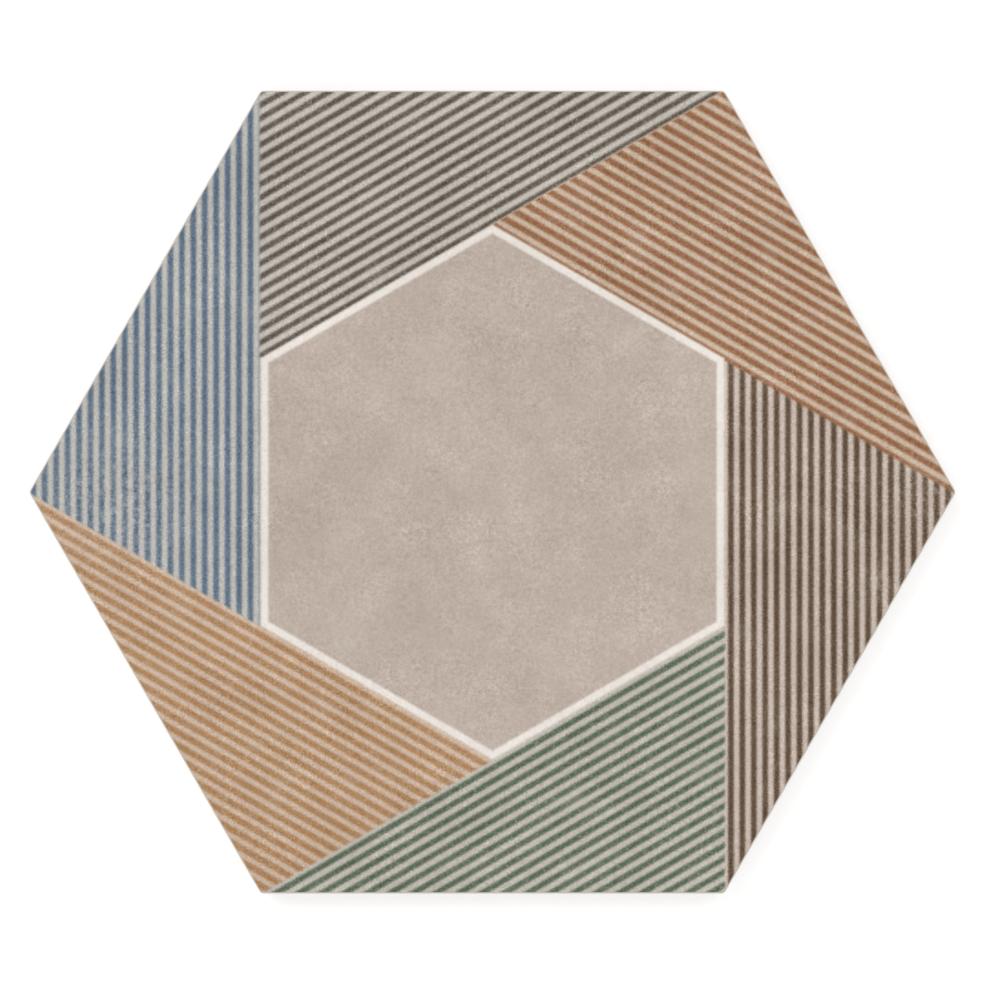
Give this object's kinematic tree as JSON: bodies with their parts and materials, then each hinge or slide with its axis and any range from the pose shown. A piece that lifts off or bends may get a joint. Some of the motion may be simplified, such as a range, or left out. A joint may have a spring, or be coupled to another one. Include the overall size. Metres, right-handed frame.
{
  "type": "hexagon floor tile",
  "caption": "Flat hexagonal porcelain floor tile with a plain centre hexagon in a pinwheel of striped panels, and a keyed back.",
  "frame": {"origin": "middle of the back, in the plane that the ribs and the rim rest on", "axes": "+Z out of the printed face, +X towards the corner at the right of the picture, +Y towards the side at its top"},
  "size_m": [0.2536, 0.22, 0.009],
  "materials": {
    "porcelain": "matt, printed cement look"
  },
  "bodies": {
    "root": {"hexagon_tile": "porcelain"}
  },
  "joints": []
}
